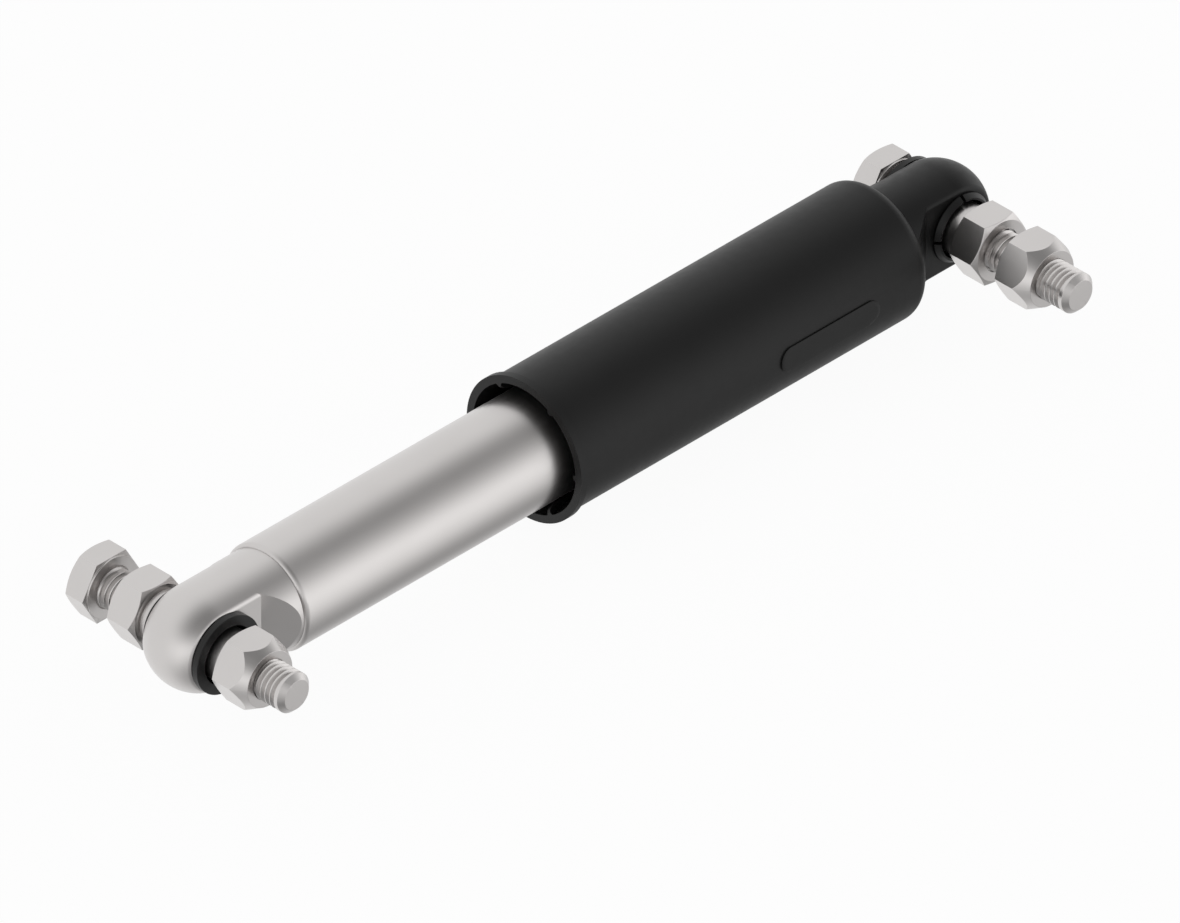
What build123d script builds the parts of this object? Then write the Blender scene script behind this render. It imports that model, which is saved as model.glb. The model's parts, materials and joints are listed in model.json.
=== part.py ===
from build123d import *
import os
from math import cos, radians, tan

# A telescopic damper with an eye and a through bolt at each end, drawn part way along its stroke.
# Millimetres. The origin is the centre of the lower eye, +X runs up the damper to the upper eye,
# and both bolts lie along Y with their heads on the +Y side.

# Length and stroke
eye_to_eye = 280.0
compression_stroke = 40.0
extension_stroke = 60.0
stop_gap = 0.5

# Fits between pieces
running_fit = 0.05
side_gap = 0.3
shim_gap = 0.02

# Eyes: a ball run into a cylinder, flat on both sides
eye_radius = 15.0
eye_half_width = 9.4
eye_bore_radius = 9.75
eye_edge_radius = 1.8
lower_flat_reach = 14.4
upper_flat_reach = 13.0
run_out_angle = 30.0

# Outer tube
tube_bottom = 25.0
tube_top = 200.0
tube_radius = 16.0
tube_wall = 2.0
tube_foot_rounding = 1.5
rolled_lip = 1.4
rolled_lip_radius = 11.0
spigot_length = 8.0

# Working cylinder inside it
cylinder_radius = 11.0
cylinder_wall = 1.0

# Rod, rod guide and seal
rod_radius = 5.0
spigot_radius = 4.0
guide_plug = 6.0
guide_flange = 8.0
guide_bush_radius = 6.5
guide_bush_length = 10.0
guide_bush_inset = 1.0
guide_recess_width = 1.5
guide_recess_depth = 1.5
drain_notch_count = 4
drain_notch_width = 2.0
drain_notch_depth = 1.2
seal_height = 5.5
seal_washer_thickness = 1.1
seal_washer_bore = 8.6
garter_wire_radius = 0.45
garter_circle = 7.55
seal_groove = 1.0
seal_lip_width = 0.8
seal_waist = 1.2
wiper_reach = 0.5

# Piston stack, from the rubber buffer down to the nut
buffer_height = 6.5
buffer_radius = 9.5
buffer_rounding = 1.2
stop_washer_thickness = 2.0
stop_washer_radius = 7.0
stop_washer_chamfer = 0.8
intake_shim_thickness = 0.5
piston_height = 10.0
piston_radius = 10.8
piston_ring_height = 3.0
piston_ring_depth = 1.3
shim_thickness = 0.3
piston_nut_height = 6.5
piston_nut_flats = 13.0
piston_port_count = 6
inner_ports_circle = 5.8
outer_ports_circle = 8.3
port_radius = 0.9
port_cover_margin = 1.6
rod_end_chamfer = 0.8
rod_top_chamfer = 1.0

# Foot valve at the bottom of the working cylinder
foot_skirt = 4.0
foot_flange = 3.0
foot_plug = 7.0
foot_skirt_wall = 2.5
foot_slot_count = 4
foot_slot_width = 4.0
foot_inner_ports_circle = 3.9
foot_inner_port_count = 4
foot_outer_ports_circle = 7.4
foot_outer_port_count = 6
foot_plate_radius = 9.2
foot_shim_radii = (6.0, 5.0)
rivet_radius = 1.5
rivet_head_radius = 3.0
rivet_head_height = 0.9
rivet_head_draft = 0.4
rivet_crown_radius = 2.4
rivet_crown_top_radius = 2.0
star_spring_radius = 8.0
star_spring_arms = 3
star_hub_radius = 2.6
star_spring_rise = 0.9

# Dust cover
cover_mouth = 122.9
cover_end = 257.5
cover_rim_radius = 21.9
cover_radius = 20.9
cover_wall = 2.4
cover_end_wall = 3.5
cover_end_rounding = 4.0
collar_length = 2.2
mouth_flare_length = 6.7
rib_count = 6
rib_reach = 17.0
rib_foot_width = 3.2
rib_width = 1.1
rib_flare = 1.1
rib_lead_in = 4.0
rib_mouth_drop = 0.6
panel_start = 200.0
panel_length = 37.0
panel_height = 7.0
panel_depth = 0.5

# How the cover is clamped to the upper eye
neck_radius = 8.0
cover_washer_thickness = 1.5
cover_washer_radius = 12.0
lock_nut_height = 6.0
lock_nut_flats = 16.0
thread_depth = 12.0
bump_stop_radius = 11.0
bump_stop_rounding = 2.0

# Bush in each eye: a flange on one side, a slotted snap lip on the other
bush_radius = eye_bore_radius - running_fit
bush_bore = 7.8
bush_mouth = 8.8
bush_mouth_depth = 3.5
bush_mouth_taper = 1.0
flange_radius = 11.75
flange_height = 1.9
flange_edge = 0.15
lip_radius = 10.4
lip_height = 1.6
lip_edge = 0.3
lip_land = 0.6
lip_slot_width = 1.0
lip_slot_depth = 5.0

# Steel sleeve and M12 bolt through each eye
sleeve_radius = bush_bore - running_fit
sleeve_bore = 6.1
sleeve_length = 30.0
sleeve_chamfer = 0.4
sleeve_offset = -0.3
bolt_radius = 6.0
bolt_length = 70.0
bolt_tip_radius = 4.5
hex_flats = 19.0
head_height = 7.5
head_seat_radius = 9.3
head_seat_height = 0.5
plain_nut_height = 10.0
cone_nut_height = 12.0
nut_face_radius = 9.1
cone_nut_face_radius = 8.4
chamfer_angle = 30.0
cone_angle = 60.0
inner_nut_chamfer = 0.2
nut_bore = bolt_radius + running_fit
nut_countersink = 6.5
lower_head_seat = 32.5
upper_cone_nut_seat = -32.4

# Stations along the damper that follow from the sizes above
inner_tube_radius = tube_radius - tube_wall
seal_washer_station = tube_top - rolled_lip - seal_washer_thickness
guide_top = seal_washer_station - seal_height
cylinder_top = guide_top - guide_flange
guide_bottom = cylinder_top - guide_plug
buffer_top = guide_bottom - extension_stroke - stop_gap
rod_shoulder = buffer_top - buffer_height
piston_top = rod_shoulder - stop_washer_thickness - intake_shim_thickness
piston_bottom = piston_top - piston_height
rebound_shim_radii = (7.0, 6.2, 5.4)
shim_stack = len(rebound_shim_radii) * (shim_thickness + shim_gap)
piston_nut_top = piston_bottom - shim_stack
piston_nut_bottom = piston_nut_top - piston_nut_height
rod_end = piston_nut_bottom - stop_gap
spigot_top = tube_bottom + spigot_length
foot_flange_bottom = spigot_top + foot_skirt
cylinder_bottom = foot_flange_bottom + foot_flange
foot_plug_top = cylinder_bottom + foot_plug
cover_inner_end = cover_end - cover_end_wall
rod_top = cover_inner_end + thread_depth
cover_washer_station = cover_inner_end - cover_washer_thickness
lock_nut_station = cover_washer_station - lock_nut_height
bump_stop_bottom = tube_top + compression_stroke + stop_gap
sleeve_bottom = sleeve_offset - sleeve_length / 2
sleeve_top = sleeve_offset + sleeve_length / 2

os.makedirs("parts", exist_ok=True)


def finish(piece, label):
    """Name a finished piece and write it to its own file."""
    piece.part.label = label
    export_step(piece.part, f"parts/{label}.step")


def turned(points):
    """A round piece about the damper's axis, from the (station, radius) corners of its section."""
    with BuildPart() as piece:
        with BuildSketch(Plane.XY):
            with BuildLine():
                Polyline(*points, close=True)
            make_face()
        revolve(axis=Axis.X)
    return piece


def ring(start, end, inner, outer):
    """A plain ring about the damper's axis between two stations."""
    return turned([(start, inner), (start, outer), (end, outer), (end, inner)])


def bolt_axis(pivot):
    """The axis of the bolt through the eye at this station."""
    return Axis((pivot, 0, 0), (0, 1, 0))


def bolt_plane(pivot, y):
    """A plane square to a bolt, facing +Y."""
    return Plane(origin=(pivot, y, 0), x_dir=(1, 0, 0), z_dir=(0, 1, 0))


def bolt_section(pivot):
    """The plane that a section about a bolt's axis is drawn in: radius along x, Y along y."""
    return Plane(origin=(pivot, 0, 0), x_dir=(1, 0, 0), z_dir=(0, 0, 1))


# Lower end: eye, outer tube and working cylinder


def eye(pivot, side, flat_reach, shoulder, tail_radius, tail_end, hole_depth):
    """An eye whose cylinder runs from the ball to the shoulder, with a thinner tail beyond it.

    side is the tail's direction along X, and hole_depth is the blind hole bored into its end.
    """
    run_out = (eye_radius + 1 - eye_half_width) / tan(radians(run_out_angle))
    with BuildPart() as piece:
        with BuildSketch(Plane.XY):
            with BuildLine():
                ball = CenterArc((pivot, 0), eye_radius, 90, 90 * side)
                Polyline(
                    ball @ 0,
                    (shoulder, eye_radius),
                    (shoulder, tail_radius),
                    (tail_end, tail_radius),
                    (tail_end, 0),
                    ball @ 1,
                )
            make_face()
        revolve(axis=Axis.X)
        with BuildSketch(Plane.XY):
            with BuildLine():
                Polyline(
                    (pivot - side * (eye_radius + 1), eye_half_width),
                    (pivot + side * flat_reach, eye_half_width),
                    (pivot + side * (flat_reach + run_out), eye_radius + 1),
                    (pivot - side * (eye_radius + 1), eye_radius + 1),
                    close=True,
                )
            make_face()
            mirror(about=Plane.XZ)
        extrude(amount=eye_radius + 1, both=True, mode=Mode.SUBTRACT)
        flats = piece.faces().filter_by(Axis.Y)
        outline = [e for f in flats for e in f.edges() if abs(e.tangent_at(0.5).Z) < 0.999]
        rims = [e for e in outline if e.geom_type != GeomType.LINE or abs(e.tangent_at(0.5).X) > 0.9]
        fillet(rims, radius=eye_edge_radius)
        with BuildSketch(bolt_plane(pivot, 0)):
            Circle(eye_bore_radius)
        extrude(amount=eye_radius, both=True, mode=Mode.SUBTRACT)
        if hole_depth:
            with BuildSketch(Plane.YZ.offset(tail_end)):
                Circle(rod_radius + shim_gap)
            extrude(amount=-side * hole_depth, mode=Mode.SUBTRACT)
    return piece


lower_eye = eye(
    0, 1, lower_flat_reach, tube_bottom, inner_tube_radius - running_fit, spigot_top, 0
)
finish(lower_eye, "lower_eye")

with BuildPart() as reservoir_tube:
    with BuildSketch(Plane.XY):
        with BuildLine():
            Polyline(
                (tube_bottom, inner_tube_radius),
                (tube_bottom, tube_radius),
                (tube_top, tube_radius),
                (tube_top, rolled_lip_radius),
                (tube_top - rolled_lip, rolled_lip_radius),
                (tube_top - rolled_lip, inner_tube_radius),
                close=True,
            )
        make_face()
    revolve(axis=Axis.X)
    foot_edge = reservoir_tube.edges().group_by(Axis.X)[0].sort_by(SortBy.RADIUS)[-1]
    fillet(foot_edge, radius=tube_foot_rounding)
    roll_edge = reservoir_tube.edges().group_by(Axis.X)[-1].sort_by(SortBy.RADIUS)[-1]
    fillet(roll_edge, radius=tube_wall)
finish(reservoir_tube, "reservoir_tube")

working_cylinder = ring(
    cylinder_bottom, cylinder_top, cylinder_radius, cylinder_radius + cylinder_wall
)
finish(working_cylinder, "working_cylinder")

# Foot valve: a ported body with a floating plate on top and shims below

foot_skirt_radius = cylinder_radius + cylinder_wall
with BuildPart() as foot_valve_body:
    with BuildSketch(Plane.YZ.offset(spigot_top)):
        Circle(foot_skirt_radius)
        Circle(foot_skirt_radius - foot_skirt_wall, mode=Mode.SUBTRACT)
        with PolarLocations(foot_skirt_radius, foot_slot_count):
            Rectangle(2 * foot_skirt_wall + foot_slot_width, foot_slot_width, mode=Mode.SUBTRACT)
    extrude(amount=foot_skirt)
    with BuildSketch(Plane.YZ.offset(foot_flange_bottom)):
        Circle(foot_skirt_radius)
    extrude(amount=foot_flange)
    with BuildSketch(Plane.YZ.offset(cylinder_bottom)):
        Circle(cylinder_radius - running_fit)
    extrude(amount=foot_plug)
    with BuildSketch(Plane.YZ.offset(foot_flange_bottom)):
        Circle(rivet_radius + running_fit)
        with PolarLocations(foot_inner_ports_circle, foot_inner_port_count):
            Circle(port_radius)
        with PolarLocations(foot_outer_ports_circle, foot_outer_port_count):
            Circle(port_radius)
    extrude(amount=foot_flange + foot_plug, mode=Mode.SUBTRACT)
finish(foot_valve_body, "foot_valve_body")

with BuildPart() as foot_valve_shims:
    for index, radius in enumerate(foot_shim_radii):
        step = (index + 1) * (shim_thickness + shim_gap)
        with BuildSketch(Plane.YZ.offset(foot_flange_bottom - step)):
            Circle(radius)
            Circle(rivet_radius + running_fit, mode=Mode.SUBTRACT)
        extrude(amount=shim_thickness)
finish(foot_valve_shims, "foot_valve_shims")
foot_shims_bottom = foot_flange_bottom - len(foot_shim_radii) * (shim_thickness + shim_gap)

with BuildPart() as foot_valve_plate:
    with BuildSketch(Plane.YZ.offset(foot_plug_top)):
        Circle(foot_plate_radius)
        Circle(rivet_radius + running_fit, mode=Mode.SUBTRACT)
        with PolarLocations(foot_inner_ports_circle, foot_inner_port_count):
            Circle(port_radius, mode=Mode.SUBTRACT)
    extrude(amount=shim_thickness)
finish(foot_valve_plate, "foot_valve_plate")

plate_top = foot_plug_top + shim_thickness
star_hub = plate_top + star_spring_rise
with BuildPart() as foot_valve_spring:
    with BuildSketch(Plane.XY):
        with BuildLine():
            Polyline(
                (star_hub, rivet_radius + running_fit),
                (star_hub, star_hub_radius),
                (plate_top, star_spring_radius),
                (plate_top + shim_thickness, star_spring_radius),
                (star_hub + shim_thickness, star_hub_radius),
                (star_hub + shim_thickness, rivet_radius + running_fit),
                close=True,
            )
        make_face()
    revolve(axis=Axis.X)
    with BuildSketch(Plane.YZ.offset(foot_plug_top)):
        with PolarLocations(star_spring_radius, star_spring_arms):
            Circle(star_spring_radius - star_hub_radius)
    extrude(amount=2 * star_spring_rise, mode=Mode.SUBTRACT)
finish(foot_valve_spring, "foot_valve_spring")

rivet_seat = star_hub + shim_thickness
foot_valve_rivet = turned(
    [
        (foot_shims_bottom - rivet_head_height, 0),
        (foot_shims_bottom - rivet_head_height, rivet_head_radius - rivet_head_draft),
        (foot_shims_bottom - rivet_head_draft, rivet_head_radius),
        (foot_shims_bottom, rivet_head_radius),
        (foot_shims_bottom, rivet_radius),
        (rivet_seat, rivet_radius),
        (rivet_seat, rivet_crown_radius),
        (rivet_seat + rivet_head_height, rivet_crown_top_radius),
        (rivet_seat + rivet_head_height, 0),
    ]
)
finish(foot_valve_rivet, "foot_valve_rivet")

# Rod guide, its bearing bush and the seal that the tube's end is rolled over

with BuildPart() as rod_guide:
    with BuildSketch(Plane.YZ.offset(guide_bottom)):
        Circle(cylinder_radius - running_fit)
    extrude(amount=guide_plug)
    with BuildSketch(Plane.YZ.offset(cylinder_top)):
        Circle(inner_tube_radius - running_fit)
        with PolarLocations(inner_tube_radius, drain_notch_count):
            Rectangle(2 * drain_notch_depth, drain_notch_width, mode=Mode.SUBTRACT)
    extrude(amount=guide_flange)
    with BuildSketch(Plane.YZ.offset(guide_top)):
        Circle(inner_tube_radius - guide_recess_width)
    extrude(amount=-guide_recess_depth, mode=Mode.SUBTRACT)
    with BuildSketch(Plane.YZ.offset(guide_bottom)):
        Circle(guide_bush_radius)
    extrude(amount=guide_plug + guide_flange, mode=Mode.SUBTRACT)
finish(rod_guide, "rod_guide")

guide_bush_bottom = guide_bottom + guide_bush_inset
guide_bush = ring(
    guide_bush_bottom,
    guide_bush_bottom + guide_bush_length,
    rod_radius + running_fit,
    guide_bush_radius - shim_gap,
)
finish(guide_bush, "guide_bush")

garter_station = guide_top + seal_lip_width / 2
wiper_tip = seal_washer_station + wiper_reach
lip_contact = rod_radius + running_fit
rod_seal = turned(
    [
        (guide_top, inner_tube_radius - running_fit),
        (guide_top, garter_circle + seal_groove),
        (garter_station + seal_groove, garter_circle),
        (garter_station - seal_lip_width, garter_circle - seal_groove),
        (garter_station, lip_contact),
        (garter_station + seal_lip_width, lip_contact),
        (garter_station + 2 * seal_lip_width, rod_radius + seal_waist),
        (wiper_tip - 2 * seal_lip_width, rod_radius + seal_waist),
        (wiper_tip - seal_lip_width, lip_contact),
        (wiper_tip, lip_contact),
        (seal_washer_station, seal_washer_bore - wiper_reach),
        (seal_washer_station, inner_tube_radius - running_fit),
    ]
)
finish(rod_seal, "rod_seal")

with BuildPart() as seal_spring:
    with BuildSketch(Plane.XY):
        with Locations((garter_station, garter_circle)):
            Circle(garter_wire_radius)
    revolve(axis=Axis.X)
finish(seal_spring, "seal_spring")

seal_washer = ring(
    seal_washer_station,
    tube_top - rolled_lip,
    seal_washer_bore,
    inner_tube_radius - running_fit,
)
finish(seal_washer, "seal_washer")

# Piston stack on the rod

piston_rod = turned(
    [
        (rod_end, 0),
        (rod_end, spigot_radius - rod_end_chamfer),
        (rod_end + rod_end_chamfer, spigot_radius),
        (rod_shoulder, spigot_radius),
        (rod_shoulder, rod_radius),
        (rod_top - rod_top_chamfer, rod_radius),
        (rod_top, rod_radius - rod_top_chamfer),
        (rod_top, 0),
    ]
)
finish(piston_rod, "piston_rod")

ring_groove_bottom = piston_bottom + (piston_height - piston_ring_height) / 2
ring_groove_radius = cylinder_radius - piston_ring_depth - 2 * running_fit
with BuildPart() as piston:
    with BuildSketch(Plane.YZ.offset(piston_bottom)):
        Circle(piston_radius)
    extrude(amount=piston_height)
    with BuildSketch(Plane.YZ.offset(ring_groove_bottom)):
        Circle(cylinder_radius)
        Circle(ring_groove_radius, mode=Mode.SUBTRACT)
    extrude(amount=piston_ring_height, mode=Mode.SUBTRACT)
    with BuildSketch(Plane.YZ.offset(piston_bottom)):
        Circle(spigot_radius + shim_gap)
        with PolarLocations(inner_ports_circle, piston_port_count):
            Circle(port_radius)
        with PolarLocations(outer_ports_circle, piston_port_count, start_angle=30):
            Circle(port_radius)
    extrude(amount=piston_height, mode=Mode.SUBTRACT)
finish(piston, "piston")

piston_ring = ring(
    ring_groove_bottom + running_fit,
    ring_groove_bottom + piston_ring_height - running_fit,
    ring_groove_radius + running_fit,
    cylinder_radius - running_fit,
)
finish(piston_ring, "piston_ring")

with BuildPart() as rebound_shims:
    for index, radius in enumerate(rebound_shim_radii):
        step = (index + 1) * (shim_thickness + shim_gap)
        with BuildSketch(Plane.YZ.offset(piston_bottom - step)):
            Circle(radius)
            Circle(spigot_radius + shim_gap, mode=Mode.SUBTRACT)
        extrude(amount=shim_thickness)
finish(rebound_shims, "rebound_shims")

with BuildPart() as intake_shim:
    with BuildSketch(Plane.YZ.offset(piston_top)):
        Circle(outer_ports_circle + port_cover_margin)
        Circle(spigot_radius + shim_gap, mode=Mode.SUBTRACT)
        with PolarLocations(inner_ports_circle, piston_port_count):
            Circle(port_radius, mode=Mode.SUBTRACT)
    extrude(amount=intake_shim_thickness)
finish(intake_shim, "intake_shim")

with BuildPart() as stop_washer:
    with BuildSketch(Plane.YZ.offset(rod_shoulder - stop_washer_thickness)):
        Circle(stop_washer_radius)
        Circle(spigot_radius + shim_gap, mode=Mode.SUBTRACT)
    extrude(amount=stop_washer_thickness)
    washer_edge = stop_washer.edges().group_by(Axis.X)[0].sort_by(SortBy.RADIUS)[-1]
    chamfer(washer_edge, length=stop_washer_chamfer)
finish(stop_washer, "stop_washer")

with BuildPart() as rebound_buffer:
    with BuildSketch(Plane.YZ.offset(rod_shoulder)):
        Circle(buffer_radius)
        Circle(rod_radius + shim_gap, mode=Mode.SUBTRACT)
    extrude(amount=buffer_height)
    outer_edges = rebound_buffer.edges().filter_by(GeomType.CIRCLE).sort_by(SortBy.RADIUS)[-2:]
    fillet(outer_edges, radius=buffer_rounding)
finish(rebound_buffer, "rebound_buffer")


def hex_nut(station, height, flats, bore):
    """A thin nut about the damper's axis, chamfered on both faces."""
    corner = flats / 2 / cos(radians(30))
    face_radius = flats / 2 - inner_nut_chamfer
    setback = (corner - face_radius) * tan(radians(chamfer_angle))
    with BuildPart() as piece:
        with BuildSketch(Plane.YZ.offset(station)):
            RegularPolygon(radius=flats / 2, side_count=6, major_radius=False)
        extrude(amount=height)
        with BuildSketch(Plane.XY):
            with BuildLine():
                Polyline(
                    (station, bore),
                    (station, face_radius),
                    (station + setback, corner),
                    (station + height - setback, corner),
                    (station + height, face_radius),
                    (station + height, bore),
                    close=True,
                )
            make_face()
        revolve(axis=Axis.X, mode=Mode.INTERSECT)
    return piece


piston_nut = hex_nut(
    piston_nut_bottom, piston_nut_height, piston_nut_flats, spigot_radius + shim_gap
)
finish(piston_nut, "piston_nut")

# Upper end: eye, cover and what clamps them to the rod

upper_eye = eye(
    eye_to_eye,
    -1,
    upper_flat_reach,
    cover_end,
    neck_radius,
    cover_inner_end,
    thread_depth + stop_gap,
)
finish(upper_eye, "upper_eye")

collar_end = cover_mouth + collar_length
inner_rim_radius = cover_rim_radius - cover_wall
inner_cover_radius = cover_radius - cover_wall
rib_mouth_radius = inner_rim_radius - rib_mouth_drop
rib_root = inner_rim_radius - rib_flare
rib_back = cover_radius - cover_wall / 2
with BuildSketch() as rib_section:
    with BuildLine():
        Polyline((rib_reach, 0), (rib_reach, rib_width / 2), (rib_root, rib_width / 2))
        TangentArc(
            (rib_root, rib_width / 2), (inner_rim_radius, rib_foot_width / 2), tangent=(1, 0)
        )
        Polyline((inner_rim_radius, rib_foot_width / 2), (rib_back, rib_foot_width / 2), (rib_back, 0))
        mirror(about=Plane.XZ)
    make_face()
with BuildPart() as dust_cover:
    with BuildSketch(Plane.XY):
        with BuildLine():
            Polyline(
                (cover_mouth, inner_rim_radius),
                (cover_mouth, cover_rim_radius),
                (collar_end, cover_rim_radius),
                (collar_end, cover_radius),
                (cover_end, cover_radius),
                (cover_end, neck_radius + running_fit),
                (cover_inner_end, neck_radius + running_fit),
                (cover_inner_end, inner_cover_radius),
                (cover_mouth + mouth_flare_length, inner_cover_radius),
                close=True,
            )
        make_face()
    revolve(axis=Axis.X)
    end_edge = dust_cover.edges().group_by(Axis.X)[-1].sort_by(SortBy.RADIUS)[-1]
    fillet(end_edge, radius=cover_end_rounding)
    # Ribs along the inside, rounded off towards the mouth
    with BuildSketch(Plane.YZ.offset(cover_mouth)):
        with PolarLocations(0, rib_count):
            add(rib_section.sketch)
    extrude(amount=cover_inner_end - cover_mouth)
    with BuildSketch(Plane.XY):
        with BuildLine():
            lead_in = EllipticalCenterArc(
                (cover_mouth + rib_lead_in, rib_mouth_radius),
                x_radius=rib_lead_in,
                y_radius=rib_mouth_radius - rib_reach,
                start_angle=180,
                arc_size=90,
            )
            Polyline(
                lead_in @ 1,
                (cover_mouth + rib_lead_in, rib_reach - 1),
                (cover_mouth, rib_reach - 1),
                lead_in @ 0,
            )
        make_face()
    revolve(axis=Axis.X, mode=Mode.SUBTRACT)
    # A shallow panel with round ends on the near side
    with BuildSketch(Plane.XZ.offset(cover_radius - panel_depth)):
        with Locations((panel_start + panel_length / 2, 0)):
            SlotOverall(panel_length, panel_height)
    extrude(amount=2 * panel_depth, mode=Mode.SUBTRACT)
finish(dust_cover, "dust_cover")

cover_washer = ring(
    cover_washer_station, cover_inner_end, rod_radius + shim_gap, cover_washer_radius
)
finish(cover_washer, "cover_washer")

rod_lock_nut = hex_nut(
    lock_nut_station, lock_nut_height, lock_nut_flats, rod_radius + shim_gap
)
finish(rod_lock_nut, "rod_lock_nut")

with BuildPart() as bump_stop:
    with BuildSketch(Plane.YZ.offset(bump_stop_bottom)):
        Circle(bump_stop_radius)
        Circle(rod_radius + shim_gap, mode=Mode.SUBTRACT)
    extrude(amount=lock_nut_station - bump_stop_bottom)
    stop_edge = bump_stop.edges().group_by(Axis.X)[0].sort_by(SortBy.RADIUS)[-1]
    fillet(stop_edge, radius=bump_stop_rounding)
finish(bump_stop, "bump_stop")


# Bushes, sleeves, bolts and nuts, the same at both eyes


def bush(pivot, side):
    """A snap-in bush whose flange is on the given side of the eye and whose lip is on the other."""
    seat = eye_half_width + side_gap
    flange_end = seat + flange_height
    lip_end = seat + lip_height
    corners = [
        (bush_mouth, flange_end),
        (flange_radius - flange_edge, flange_end),
        (flange_radius, flange_end - flange_edge),
        (flange_radius, seat),
        (bush_radius, seat),
        (bush_radius, -seat),
        (lip_radius, -seat),
        (lip_radius, -seat - lip_edge),
        (bush_mouth + lip_land, -lip_end),
        (bush_mouth, -lip_end),
        (bush_mouth, -lip_end + bush_mouth_depth),
        (bush_bore, -lip_end + bush_mouth_depth + bush_mouth_taper),
        (bush_bore, flange_end - bush_mouth_depth - bush_mouth_taper),
        (bush_mouth, flange_end - bush_mouth_depth),
    ]
    with BuildPart() as piece:
        with BuildSketch(bolt_section(pivot)):
            with BuildLine():
                Polyline(*[(radius, side * y) for radius, y in corners], close=True)
            make_face()
        revolve(axis=bolt_axis(pivot))
        with BuildSketch(bolt_plane(pivot, -side * lip_end)):
            Rectangle(4 * lip_radius, lip_slot_width)
            Rectangle(lip_slot_width, 4 * lip_radius)
        extrude(amount=side * lip_slot_depth, mode=Mode.SUBTRACT)
    return piece


def sleeve(pivot):
    """The plain steel sleeve that the bolt clamps and the bush turns on."""
    with BuildPart() as piece:
        with BuildSketch(bolt_plane(pivot, sleeve_bottom)):
            Circle(sleeve_radius)
            Circle(sleeve_bore, mode=Mode.SUBTRACT)
        extrude(amount=sleeve_length)
        ends = piece.edges().filter_by(GeomType.CIRCLE).sort_by(SortBy.RADIUS)[-2:]
        chamfer(ends, length=sleeve_chamfer)
    return piece


def bolt(pivot, seat):
    """A hexagon bolt whose head bears at Y = seat and whose tip points towards -Y."""
    corner = hex_flats / 2 / cos(radians(30))
    head_top = seat + head_seat_height + head_height
    setback = (corner - nut_face_radius) * tan(radians(chamfer_angle))
    with BuildPart() as piece:
        with BuildSketch(bolt_plane(pivot, seat + head_seat_height)):
            RegularPolygon(radius=hex_flats / 2, side_count=6, major_radius=False)
        extrude(amount=head_height)
        with BuildSketch(bolt_section(pivot)):
            with BuildLine():
                Polyline(
                    (0, seat),
                    (corner, seat),
                    (corner, head_top - setback),
                    (nut_face_radius, head_top),
                    (0, head_top),
                    close=True,
                )
            make_face()
        revolve(axis=bolt_axis(pivot), mode=Mode.INTERSECT)
        with BuildSketch(bolt_plane(pivot, seat)):
            Circle(head_seat_radius)
        extrude(amount=head_seat_height)
        with BuildSketch(bolt_plane(pivot, seat)):
            Circle(bolt_radius)
        extrude(amount=-bolt_length)
        chamfer(piece.edges().group_by(Axis.Y)[0], length=bolt_radius - bolt_tip_radius)
    return piece


def nut(pivot, seat, side, height, end_radius, end_angle):
    """A hexagon nut that bears at Y = seat and grows to one side.

    Its outer end is cut back by a cone that starts at end_radius and falls at end_angle to the face.
    """
    corner = hex_flats / 2 / cos(radians(30))
    seat_setback = (corner - nut_face_radius) * tan(radians(chamfer_angle))
    end_setback = (corner - end_radius) * tan(radians(end_angle))
    countersink = nut_countersink - nut_bore
    corners = [
        (nut_bore, countersink),
        (nut_countersink, 0),
        (nut_face_radius, 0),
        (corner, seat_setback),
        (corner, height - end_setback),
        (end_radius, height),
        (nut_countersink, height),
        (nut_bore, height - countersink),
    ]
    with BuildPart() as piece:
        with BuildSketch(bolt_plane(pivot, seat)):
            RegularPolygon(radius=hex_flats / 2, side_count=6, major_radius=False)
        extrude(amount=side * height)
        with BuildSketch(bolt_section(pivot)):
            with BuildLine():
                Polyline(*[(radius, seat + side * y) for radius, y in corners], close=True)
            make_face()
        revolve(axis=bolt_axis(pivot), mode=Mode.INTERSECT)
    return piece


def plain_nut(pivot, seat, side):
    """A nut chamfered alike on both faces."""
    return nut(pivot, seat, side, plain_nut_height, nut_face_radius, chamfer_angle)


def cone_nut(pivot, seat):
    """A lock nut that bears at Y = seat and tapers towards the bolt's tip."""
    return nut(pivot, seat, -1, cone_nut_height, cone_nut_face_radius, cone_angle)


finish(bush(0, -1), "lower_bush")
finish(sleeve(0), "lower_sleeve")
finish(bolt(0, lower_head_seat), "lower_bolt")
finish(plain_nut(0, sleeve_top, 1), "lower_plain_nut")
finish(cone_nut(0, sleeve_bottom), "lower_lock_nut")

finish(bush(eye_to_eye, 1), "upper_bush")
finish(sleeve(eye_to_eye), "upper_sleeve")
finish(bolt(eye_to_eye, sleeve_top), "upper_bolt")
finish(plain_nut(eye_to_eye, sleeve_bottom, -1), "upper_plain_nut")
finish(cone_nut(eye_to_eye, upper_cone_nut_seat), "upper_lock_nut")
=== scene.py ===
import json
from math import atan2, cos, pi, radians, sin, sqrt, tan

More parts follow.
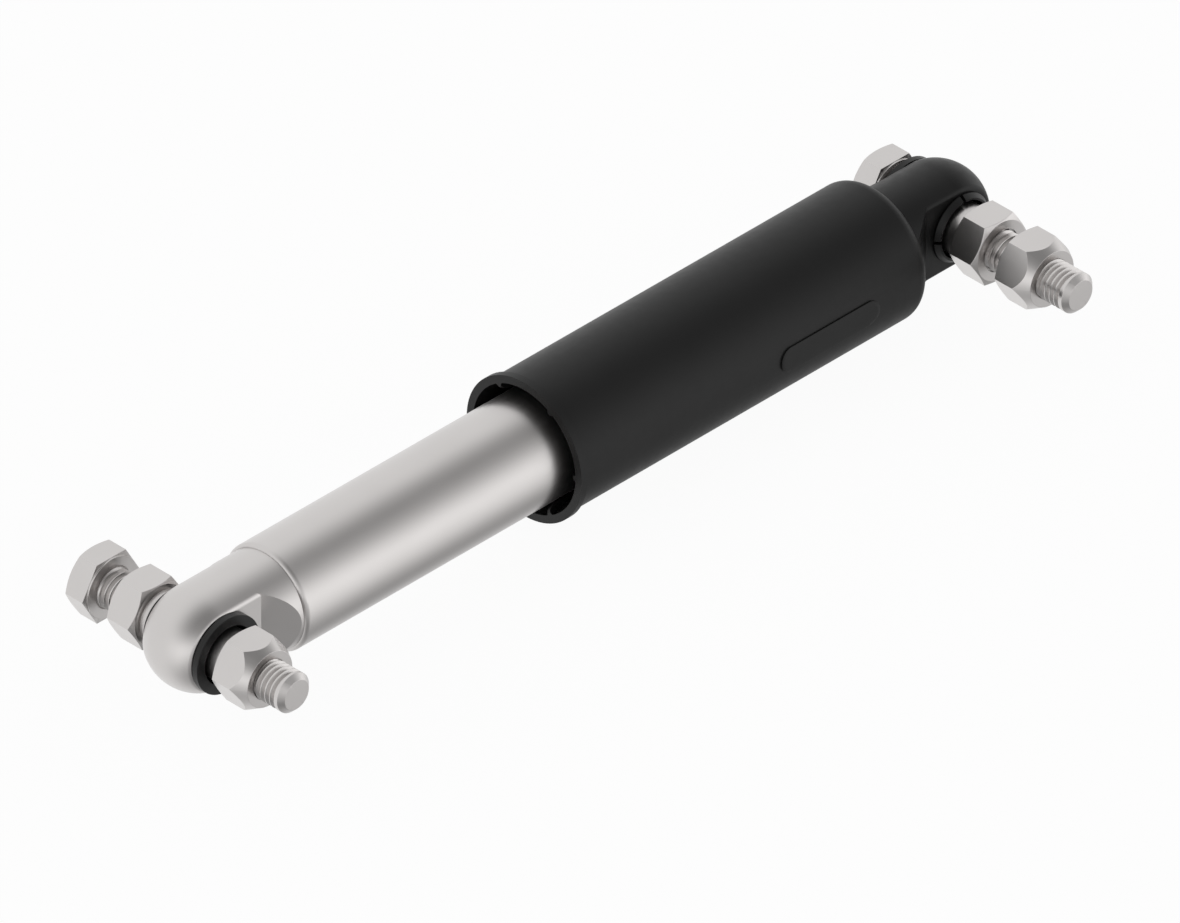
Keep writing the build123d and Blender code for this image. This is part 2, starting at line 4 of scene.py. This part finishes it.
import bmesh
import bpy
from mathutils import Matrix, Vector

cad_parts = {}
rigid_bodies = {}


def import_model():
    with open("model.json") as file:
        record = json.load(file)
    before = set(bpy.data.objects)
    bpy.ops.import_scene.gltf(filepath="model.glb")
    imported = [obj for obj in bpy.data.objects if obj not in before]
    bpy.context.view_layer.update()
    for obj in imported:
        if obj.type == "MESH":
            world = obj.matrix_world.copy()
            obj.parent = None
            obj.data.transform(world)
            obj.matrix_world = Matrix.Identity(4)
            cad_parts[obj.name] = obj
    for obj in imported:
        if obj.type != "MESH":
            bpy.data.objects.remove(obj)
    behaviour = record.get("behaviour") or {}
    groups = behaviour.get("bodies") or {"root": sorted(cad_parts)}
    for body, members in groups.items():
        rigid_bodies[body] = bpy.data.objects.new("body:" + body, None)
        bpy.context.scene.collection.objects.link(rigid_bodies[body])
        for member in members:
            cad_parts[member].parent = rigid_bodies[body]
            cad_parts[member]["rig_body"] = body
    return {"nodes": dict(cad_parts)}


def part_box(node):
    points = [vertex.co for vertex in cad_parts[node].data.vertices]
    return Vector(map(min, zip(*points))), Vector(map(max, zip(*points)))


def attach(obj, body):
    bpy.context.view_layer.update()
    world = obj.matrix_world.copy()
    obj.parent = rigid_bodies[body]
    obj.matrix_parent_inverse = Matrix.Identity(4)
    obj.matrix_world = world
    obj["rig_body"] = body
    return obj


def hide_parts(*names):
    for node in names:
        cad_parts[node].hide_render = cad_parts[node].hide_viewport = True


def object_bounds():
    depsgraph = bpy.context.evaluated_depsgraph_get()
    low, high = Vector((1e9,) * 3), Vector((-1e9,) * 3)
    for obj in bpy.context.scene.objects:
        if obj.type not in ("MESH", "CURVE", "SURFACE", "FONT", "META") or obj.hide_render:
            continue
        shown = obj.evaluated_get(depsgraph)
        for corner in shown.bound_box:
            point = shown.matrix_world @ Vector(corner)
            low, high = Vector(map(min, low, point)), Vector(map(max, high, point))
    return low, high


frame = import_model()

# Metres throughout, in the frame of the model: origin in the lower eye, +X up the damper,
# both bolts along Y with their tips towards -Y, +Z up.

MM = 0.001
cad_low, cad_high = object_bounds()

# Camera, at the photograph's viewing angle. The sensor is in millimetres, as Blender takes it.
CAMERA_TARGET = Vector((131.6, -16.3, -0.2)) * MM
CAMERA_DIRECTION = Vector((-1.0, -1.0, 1.0)).normalized()
CAMERA_DISTANCE = 11.0
CAMERA_CLIPPING = (0.1, 100.0)
FRAME_WIDTH = 316.8 * MM
SENSOR_WIDTH = 36.0

# Soft studio surroundings: (height of the direction, brightness), where 1 is white. The front has a
# bright band at the horizon, and the rear is an even pale backdrop. They meet over a range of Y.
# Each dark patch is (its direction, the share of light it takes, where it starts, where it is full),
# the last two as cosines of the angle to its direction. The colours hold the levels as shares of
# BRIGHTEST, because they can't go past 1.
FRONT_LEVELS = [
    (-1.0, 0.40), (-0.75, 0.52), (-0.45, 0.94), (-0.12, 1.24),
    (0.12, 1.24), (0.38, 0.90), (0.65, 0.46), (1.0, 0.23),
]
REAR_LEVEL = 0.98
REAR_RANGE = (-0.35, 0.50)
DARK_PATCHES = [
    ((-0.40, -0.82, -0.41), 0.50, 0.62, 0.95),
    ((0.755, 0.05, -0.654), 0.22, 0.70, 1.00),
]
BRIGHTEST = 2.0

# Floor: the share that is plain white, and the rest takes the part's soft shadow
FLOOR_RADIUS = 8.0
FLOOR_SIDES = 96
FLOOR_GAP = 0.1 * MM
FLOOR_LEVEL = 0.90
FLOOR_WHITE_SHARE = 0.95

# Meshes: double points merge, an edge is sharp from this angle on, and the rounding of an edge takes
# up no more than this share of the sides that meet there
MERGE_DISTANCE = 0.0001 * MM
SHARP_ANGLE = radians(28)
ROUNDING_STEPS = 3
ROUNDING_LIMIT = 0.45

# Hexagon bolts and nuts, M12
THREAD_PITCH = 1.75 * MM
THREAD_DEPTH = 1.07 * MM
THREAD_CREST = THREAD_PITCH / 8
THREAD_ROOT = THREAD_PITCH / 6
THREAD_ROOT_DEPTH = 0.97 * THREAD_DEPTH
THREAD_CLEARANCE = 0.03 * MM
THREAD_RUN_OUT = 0.8 * MM
THREAD_START = 2.2 * MM
SPARE_TURNS = 2
NUT_THREAD_RADIUS = 5.08 * MM
BOLT_RADIUS = 6.0 * MM
BOLT_TIP_RADIUS = 4.5 * MM
HEX_FLATS = 19.0 * MM
HEX_FACE_RADIUS = 9.1 * MM
HEX_CHAMFER_ANGLE = radians(30)
CONE_FACE_RADIUS = 8.4 * MM
CONE_ANGLE = radians(60)
CONE_MOUTH_RADIUS = 6.1 * MM
HEAD_SEAT_RADIUS = 9.3 * MM
HEAD_SEAT_HEIGHT = 0.5 * MM
HEAD_HEIGHT = 7.5 * MM
HEAD_CLEARANCE = 0.1 * MM
COUNTERSINK_RADIUS = 6.5 * MM
EDGE_ROUNDING = 0.12 * MM
COLUMNS = 96

# A hexagon's six equal sectors, and the arc of each corner: its radius, the distance of its centre
# from the axis, and the angle that it reaches to either side of the corner
SECTOR = pi / 3
CORNER_ROUNDING = 0.18 * MM
ARC_CENTRE = (HEX_FLATS / 2 - CORNER_ROUNDING) / cos(SECTOR / 2)
ARC_REACH = atan2(CORNER_ROUNDING / 2, ARC_CENTRE + CORNER_ROUNDING * cos(SECTOR / 2))

# Raised bare panel with round ends on the near side of the dust cover
COVER_RADIUS = 20.9 * MM
PANEL_START = 199.7 * MM
PANEL_END = 237.3 * MM
PANEL_HALF_HEIGHT = 3.8 * MM
PANEL_RISE = 0.5 * MM
PANEL_ROOT = 0.8 * MM
PANEL_EDGE = 0.12 * MM
PANEL_EDGE_STEP = 0.3 * PANEL_EDGE
PANEL_RINGS = (0.0, 0.35, 0.70)
PANEL_STEPS = 24

# Noise in the finishes: slow changes of tone, cloudy changes of gloss and fine grain, with scales in
# cycles per metre and details in octaves. Most of the noise lies within NOISE_RANGE.
NOISE_RANGE = (0.3, 0.7)
SLOW_SCALE = 60.0
SLOW_DETAIL = 3.0
CLOUDY_SCALE = 350.0
CLOUDY_DETAIL = 5.0
GRAIN_DETAIL = 4.0

# Wear along the edges, found where the softened normal turns away from the true one. The cosines of
# that angle are for full wear and for none, and the wear is patchy between these two strengths.
WEAR_WIDTH = 0.25 * MM
NARROW_WEAR = 0.12 * MM
WEAR_SAMPLES = 4
WEAR_COSINES = (0.80, 0.995)
WEAR_PATCHES = (0.2, 0.9)

# Sockets of the mix node that are for colours, since their names are also those of other sockets
MIX_FIRST = 6
MIX_SECOND = 7
MIX_RESULT = 2

# The finish of each slot of the record, one entry for each material
FINISHES = {
    "plated_tube": dict(
        colour=(0.61, 0.59, 0.58), metallic=1.0, roughness=0.29, roughness_spread=0.015,
        mottle=0.012, grain_scale=9000.0, grain_depth=0.0005 * MM, stretch=(0.25, 1.0, 1.0),
        wear_colour=(0.72, 0.71, 0.69),
    ),
    "plated_fastener": dict(
        colour=(0.61, 0.59, 0.58), metallic=1.0, roughness=0.285, roughness_spread=0.01,
        mottle=0.015, grain_scale=8000.0, grain_depth=0.0005 * MM,
        wear_colour=(0.74, 0.73, 0.71),
    ),
    "black_paint": dict(
        colour=(0.005, 0.005, 0.005), metallic=0.0, roughness=0.42, roughness_spread=0.04,
        mottle=0.1, grain_scale=5000.0, grain_depth=0.0015 * MM,
        wear_colour=(0.008, 0.008, 0.008), wear_width=NARROW_WEAR, ior=1.34,
    ),
    "cover_plastic": dict(
        colour=(0.006, 0.006, 0.006), metallic=0.0, roughness=0.45, roughness_spread=0.02,
        mottle=0.1, grain_scale=4000.0, grain_depth=0.0020 * MM,
        wear_colour=(0.010, 0.010, 0.010), wear_width=NARROW_WEAR, ior=1.34,
    ),
    "bush_plastic": dict(
        colour=(0.005, 0.005, 0.005), metallic=0.0, roughness=0.40, roughness_spread=0.04,
        mottle=0.1, grain_scale=6000.0, grain_depth=0.0010 * MM,
        wear_colour=(0.009, 0.009, 0.009), wear_width=NARROW_WEAR, ior=1.40,
    ),
    "bare_steel": dict(
        colour=(0.42, 0.41, 0.40), metallic=1.0, roughness=0.34, roughness_spread=0.05,
        mottle=0.05, grain_scale=7000.0, grain_depth=0.0012 * MM,
        wear_colour=(0.6, 0.59, 0.58),
    ),
    "spring_steel": dict(
        colour=(0.30, 0.31, 0.34), metallic=1.0, roughness=0.26, roughness_spread=0.05,
        mottle=0.06, grain_scale=9000.0, grain_depth=0.0006 * MM,
    ),
    "sintered_iron": dict(
        colour=(0.20, 0.195, 0.19), metallic=1.0, roughness=0.58, roughness_spread=0.08,
        mottle=0.12, grain_scale=3500.0, grain_depth=0.0060 * MM,
        wear_colour=(0.38, 0.37, 0.36),
    ),
    "hard_chrome": dict(
        colour=(0.64, 0.65, 0.66), metallic=1.0, roughness=0.10, roughness_spread=0.02,
        mottle=0.01, grain_scale=12000.0, grain_depth=0.0003 * MM, stretch=(0.4, 1.0, 1.0),
    ),
    "bronze": dict(
        colour=(0.52, 0.33, 0.16), metallic=1.0, roughness=0.38, roughness_spread=0.06,
        mottle=0.08, grain_scale=6000.0, grain_depth=0.0015 * MM,
    ),
    "ring_plastic": dict(
        colour=(0.10, 0.075, 0.05), metallic=0.0, roughness=0.50, roughness_spread=0.05,
        mottle=0.10, grain_scale=5000.0, grain_depth=0.0015 * MM,
    ),
    "seal_rubber": dict(
        colour=(0.012, 0.012, 0.012), metallic=0.0, roughness=0.55, roughness_spread=0.06,
        mottle=0.15, grain_scale=3500.0, grain_depth=0.0030 * MM,
    ),
    "buffer_rubber": dict(
        colour=(0.014, 0.014, 0.015), metallic=0.0, roughness=0.60, roughness_spread=0.06,
        mottle=0.15, grain_scale=2500.0, grain_depth=0.0040 * MM,
    ),
}


def corner_radius(angle):
    """Distance from the axis to a hexagon with its corners on X and its flats at top and bottom."""
    from_corner = (angle + SECTOR / 2) % SECTOR - SECTOR / 2
    if abs(from_corner) > ARC_REACH:
        return HEX_FLATS / 2 / cos(SECTOR / 2 - abs(from_corner))
    across = ARC_CENTRE * sin(from_corner)
    return ARC_CENTRE * cos(from_corner) + sqrt(CORNER_ROUNDING**2 - across**2)


def hexagon_angles():
    """Even steps round the axis, with four more columns over each rounded corner."""
    angles = [2 * pi * step / COLUMNS for step in range(COLUMNS)]
    for corner in range(6):
        for share in (-1.0, -0.5, 0.5, 1.0):
            angles.append((corner * SECTOR + share * ARC_REACH) % (2 * pi))
    return sorted(angles)


def rounded(points):
    """The same open outline with a short curve in place of each inner corner."""
    outline = [points[0]]
    for before, corner, after in zip(points, points[1:], points[2:]):
        corner = Vector(corner)
        back = Vector(before) - corner
        ahead = Vector(after) - corner
        half = (pi - back.angle(ahead)) / 2
        room = ROUNDING_LIMIT * min(back.length, ahead.length)
        reach = min(EDGE_ROUNDING * tan(half), room)
        start = corner + back.normalized() * reach
        end = corner + ahead.normalized() * reach
        for step in range(ROUNDING_STEPS + 1):
            share = step / ROUNDING_STEPS
            first = start.lerp(corner, share)
            second = corner.lerp(end, share)
            outline.append(tuple(first.lerp(second, share)))
    outline.append(points[-1])
    return outline


def thread_profile():
    """One pitch of the thread as (share of a pitch, depth below the crest)."""
    crest = THREAD_CREST / THREAD_PITCH / 2
    root = THREAD_ROOT / THREAD_PITCH / 2
    flank = (crest + 0.5 - root) / 2
    return [
        (-crest, 0.0),
        (crest, 0.0),
        (flank, THREAD_DEPTH / 2),
        (0.5 - root, THREAD_ROOT_DEPTH),
        (0.5, THREAD_DEPTH),
        (0.5 + root, THREAD_ROOT_DEPTH),
        (1 - flank, THREAD_DEPTH / 2),
    ]


def thread_column(angle, start, end, phase, radius_at):
    """The thread's line from start to end along the axis in one half plane.

    radius_at(y, depth) gives the radius there. The turns are counted from phase, so a stretch that
    starts far from it is filled only in part, or not at all.
    """
    whole_turns = int((end - start) / THREAD_PITCH)
    column = []
    for turn in range(-SPARE_TURNS, whole_turns + 2 * SPARE_TURNS):
        for share, depth in thread_profile():
            y = phase + (turn + share + angle / (2 * pi)) * THREAD_PITCH
            y = min(max(y, start), end)
            column.append((y, radius_at(y, depth)))
    return column


def piece_from(name, mesh):
    """The mesh as a piece, its double points merged, smooth but for its sharp edges."""
    bmesh.ops.remove_doubles(mesh, verts=mesh.verts, dist=MERGE_DISTANCE)
    bmesh.ops.dissolve_degenerate(mesh, edges=mesh.edges, dist=MERGE_DISTANCE)
    bmesh.ops.recalc_face_normals(mesh, faces=mesh.faces)
    data = bpy.data.meshes.new(name)
    mesh.to_mesh(data)
    mesh.free()
    data.polygons.foreach_set("use_smooth", [True] * len(data.polygons))
    data.set_sharp_from_angle(angle=SHARP_ANGLE)
    piece = bpy.data.objects.new(name, data)
    bpy.context.scene.collection.objects.link(piece)
    flat_faces = piece.modifiers.new("flat_faces", "WEIGHTED_NORMAL")
    flat_faces.keep_sharp = True
    return piece


def ring_piece(name, columns, angles, centre, first, last):
    """A closed piece from half-plane outlines of (y, radius) set round an axis along Y.

    Its stations from first to last climb by one pitch of the thread in a turn.
    """
    mesh = bmesh.new()
    grid = []
    for angle, column in zip(angles, columns):
        x, z = cos(angle), sin(angle)
        grid.append([mesh.verts.new((centre + radius * x, y, radius * z)) for y, radius in column])
    stations = range(len(columns[0]) - 1)
    for left, right in zip(grid, grid[1:]):
        for k in stations:
            mesh.faces.new((left[k], left[k + 1], right[k + 1], right[k]))
    left, right = grid[-1], grid[0]
    climb = len(thread_profile())
    for k in stations:
        if not first <= k < last:
            mesh.faces.new((left[k], left[k + 1], right[k + 1], right[k]))
        elif k < last - climb:
            mesh.faces.new((left[k], left[k + 1], right[k + 1 + climb], right[k + climb]))
    return piece_from(name, mesh)


def stand_in(piece, node, material):
    """The piece takes the place, the body and the finish of a node of the model."""
    piece.data.materials.append(material)
    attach(piece, frame["nodes"][node]["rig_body"])
    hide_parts(node)


def bolt(node, material):
    """Hexagon bolt with a plain point, threaded from there to its head."""
    low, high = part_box(node)
    centre = (low.x + high.x) / 2
    tip, head_top = low.y, high.y
    head_seat = head_top - HEAD_SEAT_HEIGHT - HEAD_HEIGHT
    thread_start = tip + THREAD_START
    thread_end = head_seat - HEAD_CLEARANCE

    def shaped(y, depth):
        from_end = min(y - thread_start, thread_end - y)
        return BOLT_RADIUS - depth * min(from_end / THREAD_RUN_OUT, 1.0)

    point = rounded([
        (tip, 0.0),
        (tip, BOLT_TIP_RADIUS),
        (tip + BOLT_RADIUS - BOLT_TIP_RADIUS, BOLT_RADIUS),
        (thread_start, BOLT_RADIUS),
    ])
    angles = hexagon_angles()
    columns = []
    for angle in angles:
        corner = corner_radius(angle)
        setback = (corner - HEX_FACE_RADIUS) * tan(HEX_CHAMFER_ANGLE)
        thread = thread_column(angle, thread_start, thread_end, tip, shaped)
        head = rounded([
            (thread_end, BOLT_RADIUS),
            (head_seat + COUNTERSINK_RADIUS - BOLT_RADIUS, BOLT_RADIUS),
            (head_seat, COUNTERSINK_RADIUS),
            (head_seat, HEAD_SEAT_RADIUS),
            (head_seat + HEAD_SEAT_HEIGHT, HEAD_SEAT_RADIUS),
            (head_seat + HEAD_SEAT_HEIGHT, corner),
            (head_top - setback, corner),
            (head_top, HEX_FACE_RADIUS),
            (head_top, 0.0),
        ])
        columns.append(point[:-1] + thread + head[1:])
    first = len(point) - 1
    last = first + len(thread) - 1
    stand_in(ring_piece(f"{node}_threaded", columns, angles, centre, first, last), node, material)


def nut(node, bolt_node, cone, material):
    """Hexagon nut with a chamfer on both faces, or a long cone on its outer face."""
    low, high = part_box(node)
    centre = (low.x + high.x) / 2
    if cone:
        seat, outer, outward = high.y, low.y, -1
        face_radius, face_angle, mouth_radius = CONE_FACE_RADIUS, CONE_ANGLE, CONE_MOUTH_RADIUS
    else:
        seat, outer, outward = low.y, high.y, 1
        face_radius, face_angle, mouth_radius = HEX_FACE_RADIUS, HEX_CHAMFER_ANGLE, COUNTERSINK_RADIUS
    bolt_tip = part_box(bolt_node)[0].y

    def threaded(y, depth):
        bore = max(BOLT_RADIUS - depth + THREAD_CLEARANCE, NUT_THREAD_RADIUS)
        return max(bore, COUNTERSINK_RADIUS - abs(y - seat), mouth_radius - abs(y - outer))

    angles = hexagon_angles()
    columns = []
    for angle in angles:
        corner = corner_radius(angle)
        seat_setback = (corner - HEX_FACE_RADIUS) * tan(HEX_CHAMFER_ANGLE)
        outer_setback = (corner - face_radius) * tan(face_angle)
        thread = thread_column(angle, low.y, high.y, bolt_tip, threaded)
        outside = [
            (seat, COUNTERSINK_RADIUS),
            (seat, HEX_FACE_RADIUS),
            (seat + outward * seat_setback, corner),
            (outer - outward * outer_setback, corner),
            (outer, face_radius),
            (outer, mouth_radius),
        ]
        if outward > 0:
            outside.reverse()
        columns.append(thread + rounded(outside)[1:])
    last = len(thread) - 1
    stand_in(ring_piece(f"{node}_threaded", columns, angles, centre, 0, last), node, material)


def cover_panel(name, material):
    """The raised panel, curved with the cover and sunk a little into its wall."""
    ends = ((PANEL_END - PANEL_HALF_HEIGHT, -0.5), (PANEL_START + PANEL_HALF_HEIGHT, 0.5))
    outline = []
    for centre, half_turns in ends:
        for step in range(PANEL_STEPS + 1):
            outline.append((centre, pi * (step / PANEL_STEPS + half_turns)))
    profile = [(PANEL_HALF_HEIGHT * share, PANEL_RISE) for share in PANEL_RINGS]
    profile += [
        (PANEL_HALF_HEIGHT - PANEL_EDGE, PANEL_RISE),
        (PANEL_HALF_HEIGHT - PANEL_EDGE_STEP, PANEL_RISE - PANEL_EDGE_STEP),
        (PANEL_HALF_HEIGHT, PANEL_RISE - PANEL_EDGE),
        (PANEL_HALF_HEIGHT, -PANEL_ROOT),
        (0.0, -PANEL_ROOT),
    ]
    mesh = bmesh.new()
    rings = []
    for reach, rise in profile:
        ring = []
        for centre, angle in outline:
            around = reach * sin(angle) / COVER_RADIUS
            radius = COVER_RADIUS + rise
            place = (centre + reach * cos(angle), -radius * cos(around), radius * sin(around))
            ring.append(mesh.verts.new(place))
        rings.append(ring)
    for inner, outer in zip(rings, rings[1:]):
        for k in range(len(outline)):
            mesh.faces.new((inner[k - 1], inner[k], outer[k], outer[k - 1]))
    piece = piece_from(name, mesh)
    piece.data.materials.append(material)
    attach(piece, frame["nodes"]["dust_cover"]["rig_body"])


def opaque(colour):
    """The colour with full cover."""
    return (*colour, 1.0)


def grey(level):
    """An opaque colour with the same level in each channel."""
    return opaque((level, level, level))


def fill(tree, node, inputs):
    """The node with each input set to its value, or linked where the value is a socket."""
    for name, value in inputs.items():
        if isinstance(value, bpy.types.NodeSocket):
            tree.links.new(value, node.inputs[name])
        else:
            node.inputs[name].default_value = value
    return node


def add_node(tree, kind, inputs):
    """A new node with its inputs filled."""
    return fill(tree, tree.nodes.new(kind), inputs)


def grain(tree, coordinates, scale, detail, stretch=(1.0, 1.0, 1.0)):
    """Noise at a real scale, in cycles per metre, drawn out along an axis by stretch."""
    mapping = add_node(tree, "ShaderNodeMapping", {"Vector": coordinates, "Scale": stretch})
    place = mapping.outputs["Vector"]
    noise = add_node(tree, "ShaderNodeTexNoise", {"Vector": place, "Scale": scale, "Detail": detail})
    return noise.outputs["Fac"]


def spread(tree, value, low, high, source=NOISE_RANGE, soft=False):
    """The value drawn from the source range over low to high, with soft ends if wanted."""
    span = tree.nodes.new("ShaderNodeMapRange")
    if soft:
        span.interpolation_type = "SMOOTHSTEP"
    fill(tree, span, {
        "Value": value,
        "From Min": source[0],
        "From Max": source[1],
        "To Min": low,
        "To Max": high,
    })
    return span.outputs["Result"]


def blend(tree, share, first, second):
    """The first colour with this share of the second."""
    mix = tree.nodes.new("ShaderNodeMix")
    mix.data_type = "RGBA"
    fill(tree, mix, {"Factor": share, MIX_FIRST: first, MIX_SECOND: second})
    return mix.outputs[MIX_RESULT]


def mix_shaders(tree, share, first, second):
    """The first shader with this share of the second."""
    shaders = {0: share, 1: first.outputs[0], 2: second.outputs[0]}
    return add_node(tree, "ShaderNodeMixShader", shaders)


def product(tree, first, second):
    """One value times another."""
    times = tree.nodes.new("ShaderNodeMath")
    times.operation = "MULTIPLY"
    fill(tree, times, {0: first, 1: second})
    return times.outputs[0]


def dot_product(tree, first, second):
    """The cosine of the angle between two directions."""
    along = tree.nodes.new("ShaderNodeVectorMath")
    along.operation = "DOT_PRODUCT"
    fill(tree, along, {0: first, 1: second})
    return along.outputs["Value"]


def camera_ray(tree):
    """1 for what the camera sees directly, and 0 for light and reflections."""
    return tree.nodes.new("ShaderNodeLightPath").outputs["Is Camera Ray"]


def edge_wear(tree, width):
    """Near 1 along the piece's outer edges and 0 on its open faces."""
    soft = add_node(tree, "ShaderNodeBevel", {"Radius": width})
    soft.samples = WEAR_SAMPLES
    true = tree.nodes.new("ShaderNodeNewGeometry")
    along = dot_product(tree, soft.outputs["Normal"], true.outputs["Normal"])
    return spread(tree, along, 1.0, 0.0, WEAR_COSINES)


def shader(name):
    """A new material with its node tree and its main shader."""
    material = bpy.data.materials.new(name)
    material.use_nodes = True
    return material, material.node_tree, material.node_tree.nodes["Principled BSDF"]


def surface(name, colour, metallic, roughness, roughness_spread, mottle, grain_scale, grain_depth,
            stretch=(1.0, 1.0, 1.0), wear_colour=None, wear_width=WEAR_WIDTH, ior=1.5):
    """A finish with fine grain, slow changes of tone and gloss, and wear along its edges."""
    material, tree, principled = shader(name)
    coordinates = tree.nodes.new("ShaderNodeTexCoord").outputs["Object"]
    slow = grain(tree, coordinates, SLOW_SCALE, SLOW_DETAIL)
    fine = grain(tree, coordinates, grain_scale, GRAIN_DETAIL, stretch)
    cloudy = grain(tree, coordinates, CLOUDY_SCALE, CLOUDY_DETAIL, stretch)
    dark = opaque(channel * (1 - mottle) for channel in colour)
    light = opaque(channel * (1 + mottle) for channel in colour)
    tone = blend(tree, spread(tree, slow, 0.0, 1.0), dark, light)
    if wear_colour:
        patches = spread(tree, cloudy, *WEAR_PATCHES)
        worn = product(tree, edge_wear(tree, wear_width), patches)
        tone = blend(tree, worn, tone, opaque(wear_colour))
    gloss = spread(tree, cloudy, roughness - roughness_spread, roughness + roughness_spread)
    bump = add_node(tree, "ShaderNodeBump", {"Strength": 1.0, "Distance": grain_depth, "Height": fine})
    fill(tree, principled, {
        "Base Color": tone,
        "Metallic": metallic,
        "Roughness": gloss,
        "IOR": ior,
        "Normal": bump.outputs["Normal"],
    })
    return material


def dress_nodes(finishes):
    """Every node of the model takes the finish of its slot."""
    for node in frame["nodes"].values():
        for slot in node.material_slots:
            slot.material = finishes[slot.material.name.split(".")[0]]


def front_light(tree, height):
    """The colour of the front surroundings over the height of the direction."""
    ramp = tree.nodes.new("ShaderNodeValToRGB")
    ramp.color_ramp.interpolation = "CARDINAL"
    stops = ramp.color_ramp.elements
    while len(stops) < len(FRONT_LEVELS):
        stops.new(0.5)
    for stop, (stop_height, level) in zip(stops, FRONT_LEVELS):
        stop.position = (stop_height + 1) / 2
        stop.color = grey(level / BRIGHTEST)
    fill(tree, ramp, {"Fac": spread(tree, height, 0.0, 1.0, (-1.0, 1.0))})
    return ramp.outputs["Color"]


def dark_patch(tree, direction, patch_direction, share, edge, core):
    """1 away from the patch's direction, and 1 - share in it."""
    along = dot_product(tree, direction, patch_direction)
    return spread(tree, along, 1.0, 1.0 - share, (edge, core), soft=True)


def make_world():
    """Soft studio light from a gradient over the directions, and plain white for the camera."""
    world = bpy.data.worlds.new("studio")
    bpy.context.scene.world = world
    world.use_nodes = True
    tree = world.node_tree
    direction = tree.nodes.new("ShaderNodeTexCoord").outputs["Generated"]
    split = add_node(tree, "ShaderNodeSeparateXYZ", {"Vector": direction})
    front = front_light(tree, split.outputs["Z"])
    rearward = spread(tree, split.outputs["Y"], 0.0, 1.0, REAR_RANGE, soft=True)
    strength = BRIGHTEST
    for patch in DARK_PATCHES:
        strength = product(tree, strength, dark_patch(tree, direction, *patch))
    studio = fill(tree, tree.nodes["Background"], {
        "Color": blend(tree, rearward, front, grey(REAR_LEVEL / BRIGHTEST)),
        "Strength": strength,
    })
    white = add_node(tree, "ShaderNodeBackground", {"Color": grey(1.0)})
    seen = mix_shaders(tree, camera_ray(tree), studio, white)
    fill(tree, tree.nodes["World Output"], {"Surface": seen.outputs[0]})


def make_floor():
    """A pale round floor just under the part, with a faint soft shadow, that only the camera sees.

    Light and reflections pass through it and meet the pale surroundings below the part as well.
    """
    mesh = bmesh.new()
    bmesh.ops.create_circle(mesh, cap_ends=True, segments=FLOOR_SIDES, radius=FLOOR_RADIUS)
    data = bpy.data.meshes.new("floor")
    mesh.to_mesh(data)
    mesh.free()
    floor = bpy.data.objects.new("floor", data)
    floor.location = (CAMERA_TARGET.x, CAMERA_TARGET.y, cad_low.z - FLOOR_GAP)
    bpy.context.scene.collection.objects.link(floor)
    material, tree, principled = shader("floor")
    tree.nodes.remove(principled)
    shaded = add_node(tree, "ShaderNodeBsdfDiffuse", {"Color": grey(FLOOR_LEVEL)})
    white = tree.nodes.new("ShaderNodeEmission")
    clear = tree.nodes.new("ShaderNodeBsdfTransparent")
    pale = mix_shaders(tree, FLOOR_WHITE_SHARE, shaded, white)
    seen = mix_shaders(tree, camera_ray(tree), clear, pale)
    fill(tree, tree.nodes["Material Output"], {"Surface": seen.outputs[0]})
    data.materials.append(material)


def make_camera():
    """A long lens from far away, so that the view is almost without perspective."""
    data = bpy.data.cameras.new("camera")
    data.sensor_width = SENSOR_WIDTH
    data.lens = SENSOR_WIDTH * CAMERA_DISTANCE / FRAME_WIDTH
    data.clip_start, data.clip_end = CAMERA_CLIPPING
    camera = bpy.data.objects.new("camera", data)
    camera.location = CAMERA_TARGET + CAMERA_DIRECTION * CAMERA_DISTANCE
    camera.rotation_euler = (-CAMERA_DIRECTION).to_track_quat("-Z", "Y").to_euler()
    bpy.context.scene.collection.objects.link(camera)
    bpy.context.scene.camera = camera


finishes = {name: surface(name, **look) for name, look in FINISHES.items()}
dress_nodes(finishes)
make_world()
make_floor()
make_camera()
bpy.context.scene.view_settings.view_transform = "Standard"

fastener = finishes["plated_fastener"]
for end in ("lower", "upper"):
    bolt(f"{end}_bolt", fastener)
    nut(f"{end}_plain_nut", f"{end}_bolt", False, fastener)
    nut(f"{end}_lock_nut", f"{end}_bolt", True, fastener)
cover_panel("cover_panel", finishes["cover_plastic"])
